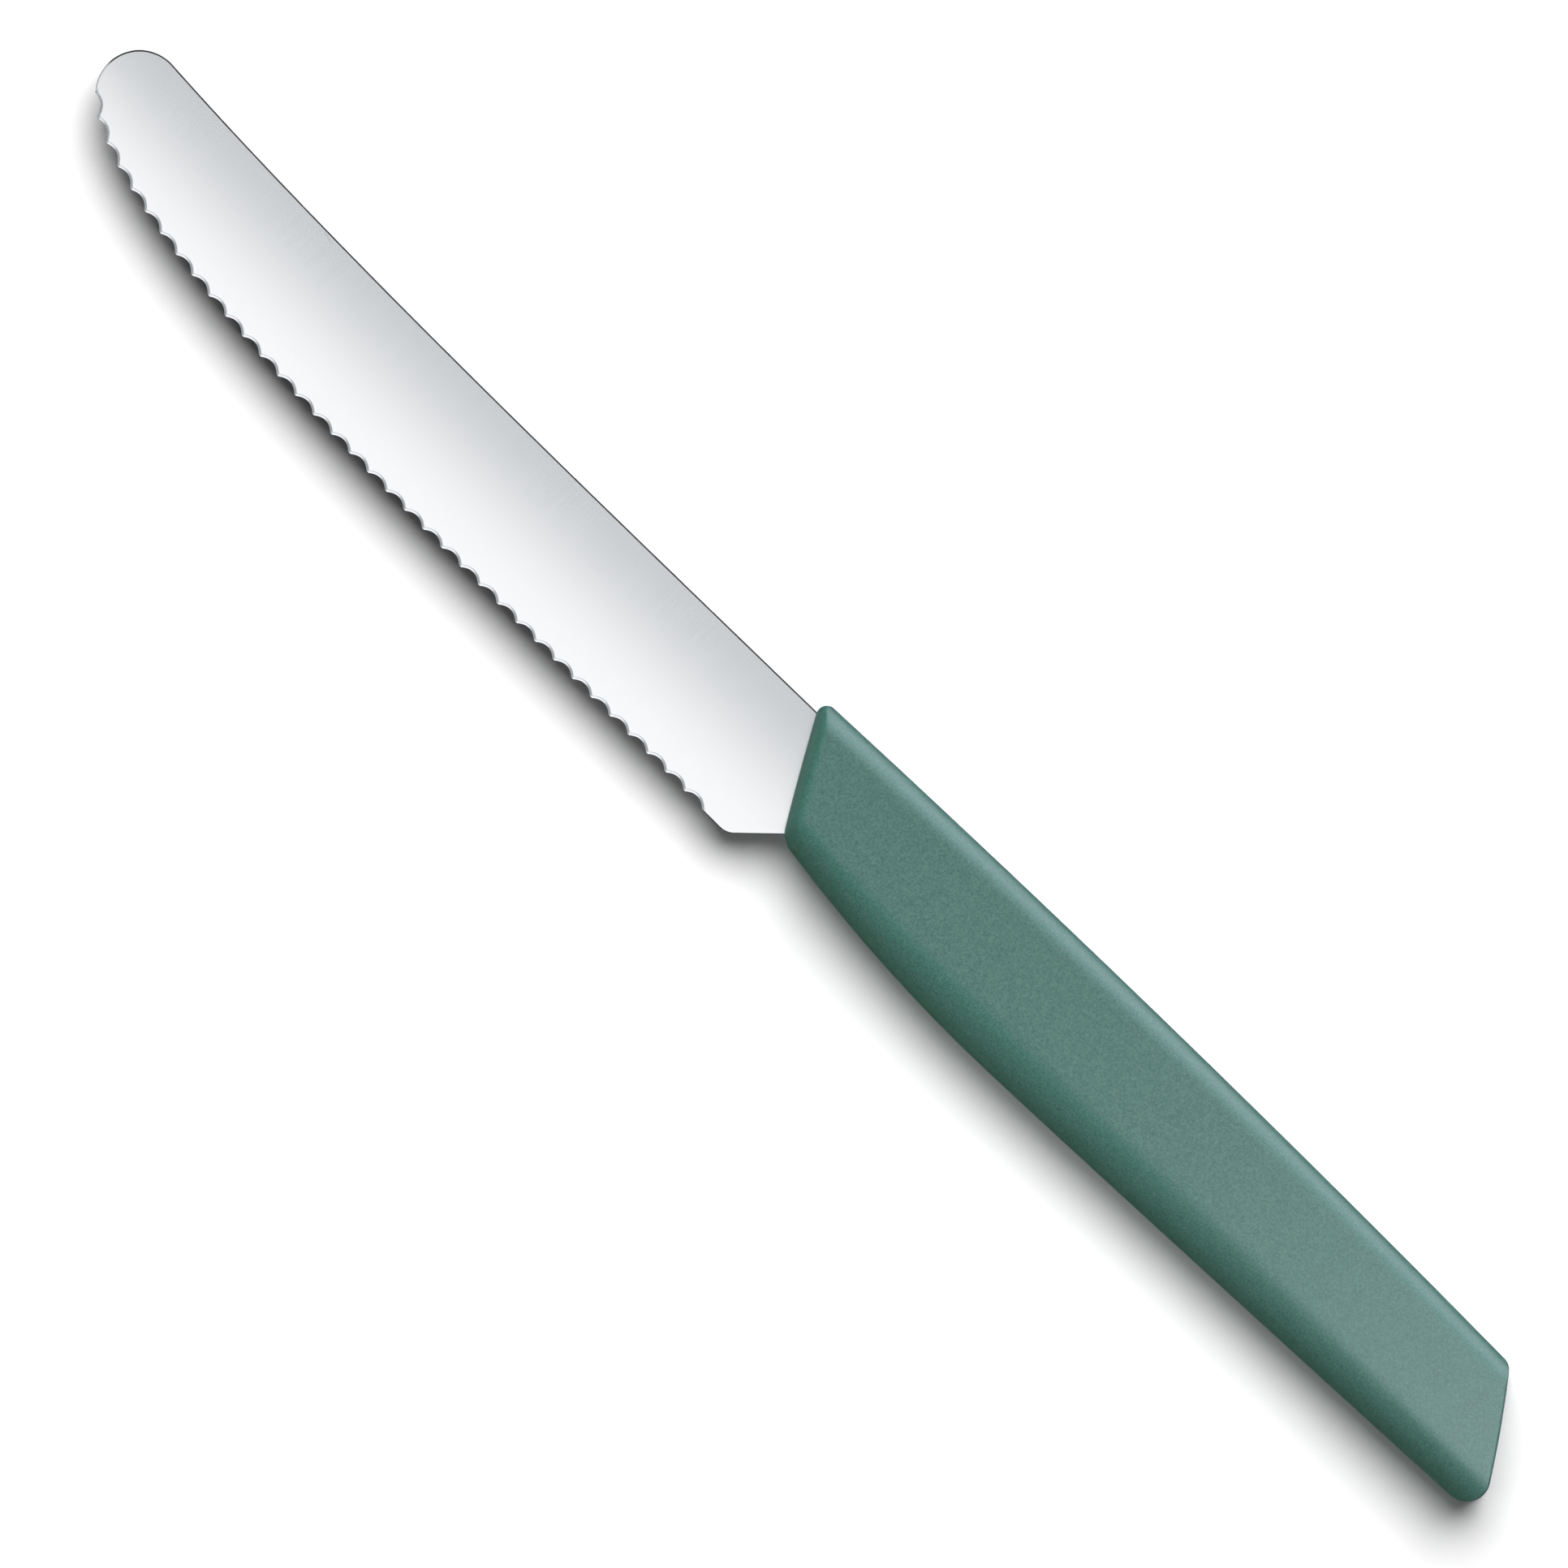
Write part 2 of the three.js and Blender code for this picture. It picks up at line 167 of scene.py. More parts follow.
FLAT_MARGIN = 0.1  # ring of faces round each side of the blade, which keeps the rim's shading off it
SHARP_ANGLE = math.radians(32)

# Finishes: grain along X, Y and Z, depths of bumps, and pairs of values that a noise varies between
NOISE_RANGE = (0.3, 0.7)  # the middle of a noise's values, where most of them lie
GRINDING_LINES = (0.1, 6, 6)
GRINDING_DEPTH = 0.001
GRINDING_STRENGTH = 0.1
STEEL_COLORS = ((0.628, 0.634, 0.646), (0.64, 0.646, 0.658))
STEEL_ROUGHNESS = (0.19, 0.21)
GRIP_GRAIN = (0.22, 0.22, 0.22)
GRIP_GRAIN_DETAIL = 3.0
GRIP_GRAIN_DEPTH = 0.02
GRIP_GRAIN_STRENGTH = 0.3
GRIP_COLORS = ((0.0105, 0.073, 0.062), (0.0450, 0.132, 0.111))
GRIP_ROUGHNESS = (0.46, 0.54)
GRIP_IOR = 1.48
CORE_GRAIN = (0.4, 0.4, 0.4)
CORE_COLORS = ((0.036, 0.058, 0.050), (0.042, 0.066, 0.058))
CORE_ROUGHNESS = (0.55, 0.65)
FLOOR_COLOR = (0.9, 0.9, 0.9, 1)
FLOOR_ROUGHNESS = 0.9
FLOOR_SPECULAR = 0.1

# Photograph: a square picture, straight down, with the knife lying from upper left to lower right
VIEW_WIDTH = 173.88
VIEW_CENTRE_X = -1.67
VIEW_TURN = math.radians(45)
CAMERA_HEIGHT = 6000
SENSOR_WIDTH = 36

# Stage, with the places that the lamps close to the knife aim at
FLOOR_REACH = 4000
FLOOR_GAP = 0.2  # between the floor and the handle's underside
WORLD_STRENGTH = 0.03
LIGHT_DISTANCE = 16000
BUTT_SHEEN = (125, -2, 6)
BLADE_SHEEN = (-35, 0, 0)
HANDLE_SHADOW = (54, -12, -6)

# Lamp colours
WHITE = (1, 1, 1)
COOL = (0.86, 0.93, 1)
PINK = (0.84, 0.7, 0.77)
ROSE = (1, 0.82, 0.95)
WARM = (0.9, 0.95, 0.62)
IVORY = (1, 0.975, 0.945)

blade_low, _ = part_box("blade")
grip_low, grip_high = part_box("handle_grip")
ORIGIN = np.array((
    blade_low.x / MM + BLADE_LENGTH,
    blade_low.y / MM + HEEL_DEPTH,
    (grip_low.z + grip_high.z) / 2 / MM,
))


# Plane geometry

def point(x, y):
    return np.array((x, y), float)


def unit(vectors):
    return vectors / np.linalg.norm(vectors, axis=-1, keepdims=True)


def right_of(vectors):
    return np.stack((vectors[..., 1], -vectors[..., 0]), axis=-1)


def left_of(vectors):
    return -right_of(vectors)


def casteljau(controls, shares):
    """Points of a Bezier curve at parameters from 0 to 1."""
    level = [np.outer(np.ones(len(shares)), control) for control in controls]
    while len(level) > 1:
        level = [a + (b - a) * shares[:, None] for a, b in zip(level, level[1:])]
    return level[0]


class Curve:
    """A Bezier curve in the drawing plane, walked by length."""

    def __init__(self, *controls):
        self.controls = np.array(controls, float)
        self.shares = np.linspace(0, 1, CURVE_STEPS + 1)
        runs = np.diff(casteljau(self.controls, self.shares), axis=0)
        self.walked = np.concatenate(([0], np.cumsum(np.linalg.norm(runs, axis=1))))
        self.length = self.walked[-1]
        self.start_direction = unit(self.controls[1] - self.controls[0])
        self.end_direction = unit(self.controls[-1] - self.controls[-2])

    def at(self, distances):
        """Points at distances from the start, with the directions of travel there."""
        shares = np.interp(distances, self.walked, self.shares)
        slopes = casteljau(np.diff(self.controls, axis=0), shares)
        return casteljau(self.controls, shares), unit(slopes)

    def spaced(self, steps):
        return self.at(np.linspace(0, self.length, steps + 1))


def arc(centre, radius, start, end, steps):
    """Points on a circle and the directions of travel there, anticlockwise if end is the larger angle."""
    angles = np.linspace(start, end, steps + 1)
    spokes = np.stack((np.cos(angles), np.sin(angles)), axis=-1)
    return centre + radius * spokes, math.copysign(1, end - start) * left_of(spokes)


def rounded_corner(before, corner, radius, after):
    """The arc that rounds a corner between two straight runs."""
    back = unit(before - corner)
    ahead = unit(after - corner)
    half = math.acos(back @ ahead) / 2
    centre = corner + unit(back + ahead) * radius / math.sin(half)
    spoke = corner + back * radius / math.tan(half) - centre
    start = math.atan2(spoke[1], spoke[0])
    turn = np.sign(ahead[0] * back[1] - ahead[1] * back[0])
    return arc(centre, radius, start, start + turn * (math.pi - 2 * half), CHAIN_CORNER_STEPS)


def joined(*runs):
    """Runs that follow each other as one: its points and its directions of travel."""
    points, travel = (np.concatenate(rows) for rows in zip(*runs))
    return points, travel


# Meshes

def add_object(name, data):
    made = bpy.data.objects.new(name, data)
    bpy.context.scene.collection.objects.link(made)
    return made


def make_mesh(name, vertices, faces):
    """A mesh object in the row frame, from points in the drawing frame."""
    mesh = bpy.data.meshes.new(name)
    mesh.from_pydata((vertices + ORIGIN) * MM, [], faces)
    return add_object(name, mesh)


def both_sides(upper):
    """Rings of the upper half, lowest first, with their mirror images in the lower half before them."""
    return [ring * FLIP for ring in upper[::-1]] + upper


def stacked(rings):
    """Points and faces of a closed body made of rings, from its lower flat up to its upper one."""
    count = len(rings[0])
    faces = [list(range(count))[::-1]]
    for level in range(len(rings) - 1):
        for i in range(count):
            a = level * count + i
            b = level * count + (i + 1) % count
            faces.append((a, b, b + count, a + count))
    top = (len(rings) - 1) * count
    faces.append(list(range(top, top + count)))
    return np.concatenate(rings), faces


def lifted(points, heights):
    return np.column_stack((points, np.broadcast_to(heights, len(points))))


def cut_away(body, cutters):
    """Subtracts the cutters from the body for good, and removes them."""
    for cutter in cutters:
        cut = body.modifiers.new("cut", "BOOLEAN")
        cut.operation = "DIFFERENCE"
        cut.solver = "EXACT"
        cut.object = cutter
    evaluated = body.evaluated_get(bpy.context.evaluated_depsgraph_get())
    result = bpy.data.meshes.new_from_object(evaluated)
    body.modifiers.clear()
    body.data = result
    for cutter in cutters:
        bpy.data.objects.remove(cutter)


def shade(piece):
    piece.data.shade_smooth()
    piece.data.set_sharp_from_angle(angle=SHARP_ANGLE)


# Blade

def front_at(y):
    return -y * math.tan(FRONT_SLANT)


def heel_line(y):
    """The straight line from the heel up into the handle."""
    mouth_low = -BELLY_DEPTH_AT_FRONT + MOUTH_LIP
    return point(front_at(mouth_low) + (y - mouth_low) / math.tan(HEEL_ANGLE), y)


def shoulder_line(y):
    """The steel's end just inside the handle, above the tang."""
    return point(front_at(y) + SHOULDER_DEPTH / math.cos(FRONT_SLANT), y)


TIP_CENTRE = point(TIP_RADIUS - BLADE_LENGTH, TIP_CENTRE_HEIGHT)
SPINE_END = shoulder_line(SPINE_HEIGHT)
HEEL_CORNER = heel_line(-HEEL_DEPTH)
HEEL_START = HEEL_CORNER - point(HEEL_LAND, 0)


def spine_run():
    top = TIP_CENTRE + unit(point(SPINE_SLOPE_AT_TIP, 1)) * TIP_RADIUS
    leave = SPINE_END - SPINE_FAIRING * point(1, SPINE_SLOPE_AT_HANDLE)
    arrive = top + SPINE_FAIRING * point(1, -SPINE_SLOPE_AT_TIP)
    return Curve(SPINE_END, leave, arrive, top).spaced(SPINE_STEPS)


def tip_run():
    top = math.pi / 2 - math.atan(SPINE_SLOPE_AT_TIP)
    return arc(TIP_CENTRE, TIP_RADIUS, top, math.pi + EDGE_TIP_ANGLE, TIP_STEPS)


def tooth_run():
    """The line of the tooth tips, from the round tip to the plain heel: points, directions, distances and
    the pitch that fits in whole scallops."""
    start = TIP_CENTRE - TIP_RADIUS * point(math.cos(EDGE_TIP_ANGLE), math.sin(EDGE_TIP_ANGLE))
    leave = start + EDGE_FAIRING_AT_TIP * point(math.sin(EDGE_TIP_ANGLE), -math.cos(EDGE_TIP_ANGLE))
    straight = point(EDGE_SWEEP - BLADE_LENGTH, -EDGE_DEPTH)
    swept = Curve(start, leave, straight - point(EDGE_FAIRING_AT_HEEL, 0), straight)
    level = Curve(straight, point(HEEL_START[0], -EDGE_DEPTH))
    length = swept.length + level.length
    count = round(length / SCALLOP_PITCH)
    land = TOOTH_LAND / SCALLOP_PITCH / 2
    shares = np.concatenate(([0], np.linspace(land, 1 - land, SCALLOP_STEPS - 1)))
    along = np.concatenate([i + shares for i in range(count)] + [[count]]) * length / count
    near = along < swept.length
    points, travel = joined(swept.at(along[near]), level.at(along[~near] - swept.length))
    return points, travel, along, length / count


EDGE_LINE, *_ = tooth_run()


def half_thickness(points):
    """Half the steel's thickness: a taper from spine to edge, with a shallow hollow on each side."""
    edge = np.interp(points[:, 0], *EDGE_LINE.T)
    low = GRIND_SWEEP * (edge + EDGE_DEPTH) - EDGE_DEPTH
    share = (points[:, 1] - low) / (SPINE_HEIGHT - low)
    taper = (SPINE_THICKNESS - EDGE_THICKNESS) / 2 * (1 - share)
    hollow = HOLLOW * np.sin(HOLLOW_TURN * share)
    return SPINE_THICKNESS / 2 - (taper + hollow) * (SPINE_HEIGHT - low) / (SPINE_HEIGHT + EDGE_DEPTH)


def scallop_offset(along, pitch):
    """How far the edge lies outside the line of the tooth tips: below zero in the scallops."""
    half_width = (SCALLOP_PITCH - TOOTH_LAND) / 2
    sag = SCALLOP_DEPTH * math.sin(SCALLOP_BEVEL)
    radius = (half_width ** 2 + sag ** 2) / (2 * sag)
    from_centre = (along / pitch) % 1 * pitch - pitch / 2
    depth = (radius - np.sqrt(radius ** 2 - from_centre ** 2)) / math.sin(SCALLOP_BEVEL) - SCALLOP_DEPTH
    # The last scallop runs out into the heel, which is deeper than the teeth
    last_half = along > along[-1] - pitch / 2
    return np.minimum(depth, np.where(last_half, HEEL_DEPTH - EDGE_DEPTH, 0))


def root_run():
    """The plain heel, and the steel inside the handle: round the tang and up the shoulder to the spine."""
    low = TANG_CENTRE_HEIGHT - TANG_HEIGHT / 2
    top = TANG_CENTRE_HEIGHT + TANG_HEIGHT / 2
    chain = (
        (HEEL_START, 0),
        (HEEL_CORNER, HEEL_RADIUS),
        (heel_line(low), SHOULDER_RADIUS),
        (point(TANG_LENGTH, low), TANG_END_RADIUS),
        (point(TANG_LENGTH, top), TANG_END_RADIUS),
        (shoulder_line(top), SHOULDER_RADIUS),
        (SPINE_END, 0),
    )
    heel = Curve(HEEL_START + point(HEEL_BEVEL, 0), HEEL_CORNER - point(HEEL_RADIUS, 0)).spaced(HEEL_STEPS)
    corners = [
        rounded_corner(before, corner, radius, after)
        for (before, _), (corner, radius), (after, _) in zip(chain, chain[1:], chain[2:])
    ]
    return joined(heel, *corners)


def side_level(points, side, drop=0):
    """A level of the rim, below the blade's side by a drop."""
    return lifted(points, side * (half_thickness(points) - drop))


def bevelled_rim(points, outwards, width):
    """Levels of a rim with bevelled edges, from the lower side up to the upper side."""
    upper = [
        side_level(points - outwards * width * share, 1, width * (1 - share))
        for share in np.linspace(0, 1, RIM_LEVELS)
    ]
    upper.append(side_level(points - outwards * (width + FLAT_MARGIN), 1))
    return both_sides(upper)


def scalloped_rim(points, outwards, along, pitch):
    """Levels of the rim along the scallops: ground flutes below, and a narrow honed lip above."""
    edge = points + outwards * scallop_offset(along, pitch)[:, None]
    runs = unit(right_of(np.diff(edge, axis=0)))
    before = np.concatenate((runs[:1], runs))
    after = np.concatenate((runs, runs[-1:]))
    mitres = (before + after) / (1 + np.sum(before * after, axis=1, keepdims=True))
    lip_drop = LIP_WIDTH * math.tan(LIP_ANGLE)
    lip_edge = side_level(edge, 1, lip_drop)
    lip_start = side_level(edge - mitres * LIP_WIDTH, 1)
    flute_edge = lip_edge - (0, 0, LIP_THICKNESS)
    flute_reach = (2 * half_thickness(edge) - lip_drop) / math.tan(SCALLOP_BEVEL)
    flute_start = side_level(edge - outwards * flute_reach[:, None], -1)
    shares = np.linspace(0, 1, RIM_LEVELS)
    flute = [flute_start + (flute_edge - flute_start) * share for share in shares]
    lip = [lip_edge + (lip_start - lip_edge) * share for share in shares]
    below = side_level(flute_start[:, :2] - outwards * FLAT_MARGIN, -1)
    above = side_level(edge - mitres * (LIP_WIDTH + FLAT_MARGIN), 1)
    return [below, *flute, *lip, above]


def blade_rings():
    """The blade's rim, as rings that run anticlockwise from the handle along the spine and back."""
    spine, spine_travel = spine_run()
    tip, tip_travel = tip_run()
    teeth, teeth_travel, along, pitch = tooth_run()
    root, root_travel = root_run()
    parts = (
        bevelled_rim(spine[:-1], right_of(spine_travel[:-1]), SPINE_BEVEL),
        bevelled_rim(tip[:-1], right_of(tip_travel[:-1]), SPINE_BEVEL),
        scalloped_rim(teeth, right_of(teeth_travel), along, pitch),
        bevelled_rim(root, right_of(root_travel), HEEL_BEVEL),
    )
    return [np.concatenate(levels) for levels in zip(*parts)]


def hollow_sides(blade):
    """Cuts the blade's flat sides into a grid, so that they can follow the hollow grind."""
    along = np.linspace(-EDGE_DEPTH, SPINE_HEIGHT, SIDE_LINES + 2)[1:-1]
    across = np.linspace(0, EDGE_SWEEP, CROSS_LINES + 2)[1:-1] - BLADE_LENGTH
    cuts = [((0, 1, 0), y) for y in along] + [((1, 0, 0), x) for x in across]
    shape = bmesh.new()
    shape.from_mesh(blade.data)
    # Only the two flat sides have more than four corners
    flats = [face for face in shape.faces if len(face.verts) > 4]
    flats = bmesh.ops.triangulate(shape, faces=flats)["faces"]
    for normal, level in cuts:
        place = (ORIGIN + level * np.array(normal)) * MM
        edges = {edge for face in flats for edge in face.edges}
        corners = {corner for face in flats for corner in face.verts}
        parts = bmesh.ops.bisect_plane(
            shape,
            geom=[*corners, *edges, *flats],
            dist=CUT_TOLERANCE * MM,
            plane_co=place,
            plane_no=normal,
        )
        flats = [part for part in parts["geom"] if isinstance(part, bmesh.types.BMFace)]
    corners = list({corner for face in flats for corner in face.verts})
    places = np.array([corner.co for corner in corners]) / MM - ORIGIN
    for corner, half, height in zip(corners, half_thickness(places), places[:, 2]):
        corner.co.z = (ORIGIN[2] + math.copysign(half, height)) * MM
    shape.to_mesh(blade.data)
    shape.free()


def hole_cutter(x):
    circle, _ = arc(point(x, TANG_CENTRE_HEIGHT), LOCK_HOLE_DIAMETER / 2, 0, 2 * math.pi, HOLE_STEPS)
    rings = [lifted(circle[:-1], side * SPINE_THICKNESS) for side in (-1, 1)]
    return make_mesh("hole_cutter", *stacked(rings))


def make_blade():
    blade = make_mesh("serrated_blade", *stacked(blade_rings()))
    hollow_sides(blade)
    cut_away(blade, [hole_cutter(LOCK_HOLE_START + i * LOCK_HOLE_PITCH) for i in range(LOCK_HOLE_COUNT)])
    shade(blade)
    return blade


# Grip

Side = namedtuple("Side", "corner control radius")


def butt_at(y):
    return HANDLE_LENGTH - y * math.tan(BUTT_SLANT)


def bowed(start, end, bow):
    """The control point of a side that bows outwards."""
    return (start + end) / 2 + 2 * bow * right_of(unit(end - start))


def handle_sides():
    """The handle's sides, anticlockwise, each from its own corner to the next side's."""
    front_low = point(front_at(-BELLY_DEPTH_AT_FRONT), -BELLY_DEPTH_AT_FRONT)
    belly = point(BELLY_POSITION, -BELLY_DEPTH)
    butt_low = point(butt_at(-BELLY_DEPTH_AT_BUTT), -BELLY_DEPTH_AT_BUTT)
    butt_top = point(butt_at(BACK_HEIGHT_AT_BUTT), BACK_HEIGHT_AT_BUTT)
    front_top = point(front_at(BACK_HEIGHT_AT_FRONT), BACK_HEIGHT_AT_FRONT)
    return (
        Side(front_low, belly - point(BELLY_FAIRING_TO_FRONT, 0), FRONT_LOW_RADIUS),
        Side(belly, belly + point(BELLY_FAIRING_TO_BUTT, 0), 0),
        Side(butt_low, bowed(butt_low, butt_top, BUTT_BOW), BUTT_LOW_RADIUS),
        Side(butt_top, bowed(butt_top, front_top, BACK_BOW), BUTT_TOP_RADIUS),
        Side(front_top, bowed(front_top, front_low, FRONT_BOW), FRONT_TOP_RADIUS),
    )


SIDES = handle_sides()
SIDE_CURVES = [
    Curve(side.corner, side.control, after.corner)
    for side, after in zip(SIDES, SIDES[1:] + SIDES[:1])
]


def side_line(*curves):
    """Points along sides that follow each other, from corner to corner."""
    runs = [curve.spaced(math.ceil(curve.length / GRIP_STEP))[0] for curve in curves]
    return np.concatenate([run[:-1] for run in runs] + [runs[-1][-1:]])


FRONT_BELLY_CURVE, REAR_BELLY_CURVE, _, BACK_CURVE, FRONT_CURVE = SIDE_CURVES
BELLY_LINE = side_line(FRONT_BELLY_CURVE, REAR_BELLY_CURVE)
BACK_LINE = side_line(BACK_CURVE)
FRONT_LINE = side_line(FRONT_CURVE)


def inset_curves(inset):
    """The handle's sides moved inwards, meeting at corners that moved with them."""
    corners = []
    for before, curve in zip(SIDE_CURVES[-1:] + SIDE_CURVES[:-1], SIDE_CURVES):
        inwards = left_of(before.end_direction) + left_of(curve.start_direction)
        mitre = inwards / (1 + before.end_direction @ curve.start_direction)
        corners.append(curve.controls[0] + inset * mitre)
    moved = []
    for curve, corner, after in zip(SIDE_CURVES, corners, corners[1:] + corners[:1]):
        along = unit(curve.controls[2] - curve.controls[0])
        moved.append(Curve(corner, curve.controls[1] + inset * left_of(along), after))
    return moved


def handle_outline(inset, radii):
    """The handle's outline moved inwards: points and inward directions."""
    curves = inset_curves(inset)
    turns = [
        math.acos(before.end_direction @ curve.start_direction)
        for before, curve in zip(curves[-1:] + curves[:-1], curves)
    ]
    cuts = [radius * math.tan(turn / 2) for radius, turn in zip(radii, turns)]
    points, inwards = [], []
    for i, curve in enumerate(curves):
        k = (i + 1) % len(curves)
        end = curve.length - cuts[k]
        run, travel = curve.at(np.linspace(cuts[i], end, math.ceil(curve.length / GRIP_STEP) + 1))
        if cuts[k] == 0:
            bend, bend_travel = run[:0], travel[:0]
            run, travel = run[:-1], travel[:-1]
        else:
            entry, entry_travel = (row[0] for row in curves[k].at(cuts[k:k + 1]))
            # The usual reach of the control points for a Bezier curve that follows an arc
            reach = 4 / 3 * math.tan(turns[k] / 4) * radii[k]
            corner = Curve(run[-1], run[-1] + reach * travel[-1], entry - reach * entry_travel, entry)
            bend, bend_travel = (row[1:-1] for row in corner.spaced(GRIP_CORNER_STEPS))
        points += [run, bend]
        inwards += [left_of(travel), left_of(bend_travel)]
    return np.concatenate(points), np.concatenate(inwards)


def distances(points, line):
    """Distances from points to a line of straight runs."""
    runs = np.diff(line, axis=0)
    steps = points[:, None] - line[:-1]
    shares = np.clip(np.sum(steps * runs, axis=-1) / np.sum(runs ** 2, axis=-1), 0, 1)
    return np.linalg.norm(steps - shares[..., None] * runs, axis=-1).min(axis=1)


def grip_heights(points, outline):
    """Heights of the handle's upper side at points inside its outline, above its middle."""
    places = (0, BELLY_POSITION, BELLY_NARROWING, HANDLE_LENGTH)
    widths = (BELLY_ROUNDING_AT_FRONT, BELLY_ROUNDING, BELLY_ROUNDING, BELLY_ROUNDING_AT_BUTT)
    belly = np.interp(points[:, 0], places, widths)
    edges = (
        (BELLY_LINE, belly, BELLY_DROP),
        (BACK_LINE, BACK_ROUNDING, BACK_DROP),
        (FRONT_LINE, FRONT_ROUNDING, FRONT_DROP),
        (outline, RIM_ROUNDING, RIM_DROP),
    )
    drops = []
    for line, rounding, drop in edges:
        share = np.clip(1 - distances(points, line) / rounding, 0, 1)
        drops.append(drop * (1 - np.sqrt(1 - share ** 2)))
    return HANDLE_THICKNESS / 2 - np.linalg.norm(drops, ord=EDGE_MEETING, axis=0)


def grip_grid(outline):
    """A grid of points inside the handle's outline, clear of its rim."""
    steps = [np.arange(low, high, GRIP_GRID) for low, high in zip(outline.min(axis=0), outline.max(axis=0))]
    grid = np.stack(np.meshgrid(*steps), axis=-1).reshape(-1, 2)
    x, y = grid.T
    between_ends = (x > front_at(y)) & (x < butt_at(y))
    between_sides = (y > np.interp(x, *BELLY_LINE.T)) & (y < np.interp(x, *BACK_LINE[::-1].T))
    grid = grid[between_ends & between_sides]
    return grid[distances(grid, outline) > RIM_ROUNDING + GRIP_GRID / 2]


def filled(rings, inner):
    """The stacked body with its flats filled in over inner points, given for the upper side."""
    points, faces = stacked(rings)
    count = len(rings[0])
    corners = [Vector(corner) for corner in np.concatenate((rings[-1], inner))[:, :2]]
    _, _, triangles, *_ = delaunay_2d_cdt(corners, [], [range(count)], INSIDE_ONLY, MERGE_DISTANCE)
    fresh = len(points) + np.arange(len(inner))
    upper = np.concatenate((len(points) - count + np.arange(count), fresh))
    lower = np.concatenate((np.arange(count), fresh + len(inner)))
    caps = [upper[triangle].tolist() for triangle in triangles]
    caps += [lower[triangle[::-1]].tolist() for triangle in triangles]
    return np.concatenate((points, inner, inner * FLIP)), faces[1:-1] + caps


def grip_body():
    outline, inwards = handle_outline(0, [side.radius for side in SIDES])
    closed = np.concatenate((outline, outline[:1]))
    upper = []
    for angle in np.linspace(0, math.pi / 2, GRIP_RIM_LEVELS):
        ring = outline + inwards * RIM_ROUNDING * (1 - math.cos(angle))
        upper.append(lifted(ring, grip_heights(ring, closed)))
    grid = grip_grid(closed)
    inner = lifted(grid, grip_heights(grid, closed))
    return make_mesh("moulded_grip", *filled(both_sides(upper), inner))


def core_room():
    radii = [CORE_ROOM_CORNER_RADIUS if side.radius else 0 for side in SIDES]
    points, inwards = handle_outline(GRIP_WALL, radii)
    upper = []
    for angle in np.linspace(0, math.pi / 2, ROOM_LEVELS):
        ring = points + inwards * CORE_ROOM_ROUNDING * (1 - math.cos(angle))
        drop = GRIP_WALL + CORE_ROOM_ROUNDING * (1 - math.sin(angle))
        upper.append(lifted(ring, HANDLE_THICKNESS / 2 - drop))
    return make_mesh("core_room", *stacked(both_sides(upper)))


def steel_room():
    """The room that the handle leaves for the steel, with a gap all round it."""
    points, travel = joined(spine_run(), root_run())
    near = points[:, 0] > front_at(SPINE_HEIGHT) - MOUTH_REACH
    outline = (points + MOULD_GAP * right_of(travel))[near]
    half = half_thickness(outline) + MOULD_GAP
    return make_mesh("steel_room", *stacked([lifted(outline, -half), lifted(outline, half)]))


def make_grip():
    grip = grip_body()
    cut_away(grip, [core_room(), steel_room()])
    shade(grip)
    return grip


# Materials

class Finish:
    """A material with a principled shader, and short ways to add and link nodes."""

    def __init__(self, name, **values):
        self.material = bpy.data.materials.new(name)
        self.material.use_nodes = True
        self.tree = self.material.node_tree
        self.shader = self.tree.nodes["Principled BSDF"]
        for socket, value in values.items():
            self.shader.inputs[socket.replace("_", " ")].default_value = value

    def add(self, kind, inputs=(), **settings):
        """A new node, with settings and with input values or links by socket name."""
        node = self.tree.nodes.new(kind)
        for key, value in settings.items():
            setattr(node, key, value)
        for socket, value in dict(inputs).items():
            self.feed(node, socket, value)
        return node

    def feed(self, node, socket, value):
        if isinstance(value, bpy.types.NodeSocket):
            self.tree.links.new(value, node.inputs[socket])
        else:
            node.inputs[socket].default_value = value

    def noise(self, grain, detail=2.0):
        """Noise whose grain has the given sizes in millimetres along X, Y and Z."""
        place = self.add("ShaderNodeTexCoord").outputs["Object"]
        scale = [1 / (size * MM) for size in grain]
        stretched = self.add("ShaderNodeMapping", {"Vector": place, "Scale": scale}).outputs["Vector"]
        inputs = {"Vector": stretched, "Scale": 1.0, "Detail": detail}
        return self.add("ShaderNodeTexNoise", inputs).outputs["Fac"]

    def spread(self, value, low, high):
        """Maps the middle of a noise's range to low and high."""
        start, end = NOISE_RANGE
        inputs = {"Value": value, "From Min": start, "From Max": end, "To Min": low, "To Max": high}
        return self.add("ShaderNodeMapRange", inputs).outputs["Result"]

    def tint(self, value, dark, light):
        """A colour between two, over the middle of a noise's range."""
        ramp = self.add("ShaderNodeValToRGB", {"Fac": value})
        for stop, place, color in zip(ramp.color_ramp.elements, NOISE_RANGE, (dark, light)):
            stop.position = place
            stop.color = (*color, 1)
        return ramp.outputs["Color"]

    def vary(self, value, colors, roughness):
        """Lets a noise vary the colour and the roughness."""
        self.feed(self.shader, "Base Color", self.tint(value, *colors))
        self.feed(self.shader, "Roughness", self.spread(value, *roughness))

    def bump(self, height, strength, depth):
        """Gives the surface bumps of a depth in millimetres."""
        inputs = {"Height": height, "Strength": strength, "Distance": depth * MM}
        self.feed(self.shader, "Normal", self.add("ShaderNodeBump", inputs).outputs["Normal"])


def steel():
    finish = Finish("satin_steel", Metallic=1.0)
    lines = finish.noise(GRINDING_LINES)
    finish.vary(lines, STEEL_COLORS, STEEL_ROUGHNESS)
    finish.bump(lines, GRINDING_STRENGTH, GRINDING_DEPTH)
    return finish.material


